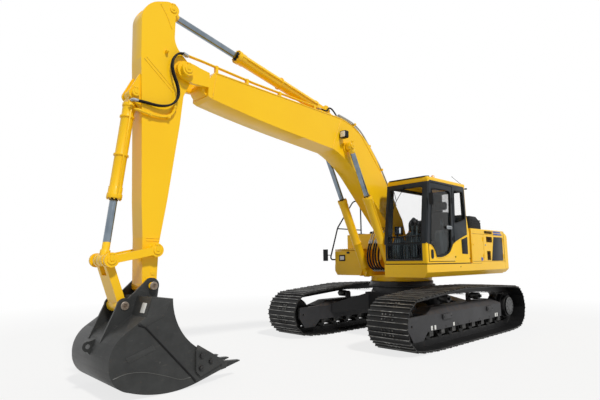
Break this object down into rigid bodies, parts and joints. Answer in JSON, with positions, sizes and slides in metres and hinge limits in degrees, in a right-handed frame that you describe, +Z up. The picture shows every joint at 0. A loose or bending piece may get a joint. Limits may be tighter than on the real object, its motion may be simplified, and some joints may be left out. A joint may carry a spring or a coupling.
{
  "type": "crawler excavator",
  "caption": "Crawler excavator with glazed cab, boom, arm and toothed bucket on steel tracks, posed with the bucket resting on the ground.",
  "frame": {"origin": "bottom centre of the whole machine's bounding box, on the ground", "axes": "X forward along the boom and the longest extent, Y to the operator's left, Z up"},
  "size_m": [9.6118, 3.39, 5.2518],
  "materials": {
    "yellow_paint": "glossy machine yellow paint",
    "charcoal_paint": "satin charcoal paint, worn at the edges",
    "track_steel": "black painted steel, polished grouser tips",
    "frame_paint": "satin dark grey paint with dust",
    "cab_paint": "satin dark cab paint",
    "chrome_rod": "polished hard chrome",
    "cab_pane": "clear safety glass",
    "seat_cloth": "woven grey seat cloth",
    "trim_black": "satin black paint",
    "console_plastic": "moulded grey plastic"
  },
  "bodies": {
    "undercarriage": {"car_body": "frame_paint", "slew_ring": "frame_paint", "sprockets": "track_steel", "idlers": "track_steel", "rollers": "track_steel", "track_left": "track_steel", "track_frame_left": "frame_paint", "track_right": "track_steel", "track_frame_right": "frame_paint"},
    "boom": {"boom": "yellow_paint", "boom_pipes": "yellow_paint", "boom_lamp": "trim_black"},
    "boom_barrels": {"boom_cylinder_barrels": "yellow_paint"},
    "boom_rods": {"boom_cylinder_rods": "chrome_rod"},
    "arm": {"arm": "yellow_paint"},
    "arm_barrel": {"arm_cylinder_barrel": "yellow_paint"},
    "arm_rod": {"arm_cylinder_rod": "chrome_rod"},
    "bucket": {"bucket": "charcoal_paint", "bucket_edge": "charcoal_paint"},
    "tipping_links": {"tipping_links": "yellow_paint"},
    "bucket_link": {"bucket_link": "yellow_paint"},
    "bucket_barrel": {"bucket_cylinder_barrel": "yellow_paint"},
    "bucket_rod": {"bucket_cylinder_rod": "chrome_rod"},
    "cab_door": {"cab_door": "cab_paint", "cab_door_glass": "cab_pane"},
    "left_front_door": {"left_front_door": "yellow_paint"},
    "left_rear_door": {"left_rear_door": "yellow_paint"},
    "right_door": {"right_door": "yellow_paint"},
    "engine_hood": {"engine_hood": "cab_paint"},
    "toolbox_lid": {"toolbox_lid": "yellow_paint"},
    "upper": {"revolving_frame": "yellow_paint", "counterweight": "yellow_paint", "body_left": "yellow_paint", "body_right": "yellow_paint", "tanks": "yellow_paint", "centre_cover": "yellow_paint", "engine": "frame_paint", "exhaust": "trim_black", "cooling_pack": "frame_paint", "pump": "frame_paint", "swing_motor": "frame_paint", "toolbox": "yellow_paint", "front_lamp": "trim_black", "handrails": "trim_black", "cab_frame": "cab_paint", "cab_roof": "yellow_paint", "cab_glass": "cab_pane", "cab_mirror": "trim_black", "seat": "seat_cloth", "consoles": "console_plastic"}
  },
  "joints": [
    {"name": "swing", "type": "hinge", "parent": "undercarriage", "child": "upper", "pos_m": [-1.901, 0, 1.1], "axis": [0, 0, 1], "continuous": true},
    {"name": "boom_lift", "type": "hinge", "parent": "upper", "child": "boom", "pos_m": [-1.731, 0, 1.95], "axis": [0, -1, 0], "range_deg": [-54, 35]},
    {"name": "boom_barrel_tilt", "type": "hinge", "parent": "upper", "child": "boom_barrels", "pos_m": [-1.091, 0, 1.27], "axis": [0, -1, 0], "range_deg": [-51.91, 33.99]},
    {"name": "boom_rod_slide", "type": "slide", "parent": "boom_barrels", "child": "boom_rods", "axis": [0.4487, 0, 0.8937], "range_m": [-0.7788, 0.5083]},
    {"name": "arm_crowd", "type": "hinge", "parent": "boom", "child": "arm", "pos_m": [3.649, 0, 4.27], "axis": [0, 1, 0], "range_deg": [-72, 43]},
    {"name": "arm_barrel_tilt", "type": "hinge", "parent": "boom", "child": "arm_barrel", "pos_m": [0.549, 0, 4.43], "axis": [0, 1, 0], "range_deg": [-4.12, 2.86]},
    {"name": "arm_rod_slide", "type": "slide", "parent": "arm_barrel", "child": "arm_rod", "axis": [0.9763, 0, 0.2166], "range_m": [-0.955, 0.5744]},
    {"name": "bucket_curl", "type": "hinge", "parent": "arm", "child": "bucket", "pos_m": [4.059, 0, 1.25], "axis": [0, 1, 0], "range_deg": [-91, 80]},
    {"name": "tipping_link_turn", "type": "hinge", "parent": "arm", "child": "tipping_links", "pos_m": [4.019, 0, 1.7], "axis": [0, 1, 0], "range_deg": [-66.52, 58.6]},
    {"name": "bucket_link_turn", "type": "hinge", "parent": "tipping_links", "child": "bucket_link", "pos_m": [4.599, 0, 1.58], "axis": [0, 1, 0], "range_deg": [-45, 51.05]},
    {"name": "bucket_barrel_tilt", "type": "hinge", "parent": "arm", "child": "bucket_barrel", "pos_m": [4.344, 0, 3.78], "axis": [0, 1, 0], "range_deg": [-6, 5.4]},
    {"name": "bucket_rod_slide", "type": "slide", "parent": "bucket_barrel", "child": "bucket_rod", "axis": [0.1151, 0, -0.9933], "range_m": [-0.5182, 0.4568]},
    {"name": "cab_door_swing", "type": "hinge", "parent": "upper", "child": "cab_door", "pos_m": [-1.755, 1.388, 2], "axis": [0, 0, 1], "range_deg": [0, 160]},
    {"name": "left_front_door_swing", "type": "hinge", "parent": "upper", "child": "left_front_door", "pos_m": [-2.537, 1.386, 1.8], "axis": [0, 0, 1], "range_deg": [-90, 0]},
    {"name": "left_rear_door_swing", "type": "hinge", "parent": "upper", "child": "left_rear_door", "pos_m": [-3.093, 1.386, 1.8], "axis": [0, 0, 1], "range_deg": [-90, 0]},
    {"name": "right_door_swing", "type": "hinge", "parent": "upper", "child": "right_door", "pos_m": [-3.227, -1.386, 1.8], "axis": [0, 0, 1], "range_deg": [0, 90]},
    {"name": "engine_hood_lift", "type": "hinge", "parent": "upper", "child": "engine_hood", "pos_m": [-3.457, 0, 2.204], "axis": [0, 1, 0], "range_deg": [0, 60]},
    {"name": "toolbox_lid_lift", "type": "hinge", "parent": "upper", "child": "toolbox_lid", "pos_m": [-1.691, 0, 1.808], "axis": [0, -1, 0], "range_deg": [0, 80]}
  ],
  "couplings": [
    {"joint": "boom_barrel_tilt", "follows": "boom_lift", "ratio": 0.9427},
    {"joint": "boom_rod_slide", "follows": "boom_lift", "m_per_rad": 0.8157},
    {"joint": "arm_barrel_tilt", "follows": "arm_crowd", "ratio": 0.0433},
    {"joint": "arm_rod_slide", "follows": "arm_crowd", "m_per_rad": 0.752},
    {"joint": "tipping_link_turn", "follows": "bucket_curl", "ratio": 0.72},
    {"joint": "bucket_link_turn", "follows": "bucket_curl", "ratio": -0.55},
    {"joint": "bucket_barrel_tilt", "follows": "bucket_curl", "ratio": 0.055},
    {"joint": "bucket_rod_slide", "follows": "bucket_curl", "m_per_rad": 0.32}
  ]
}
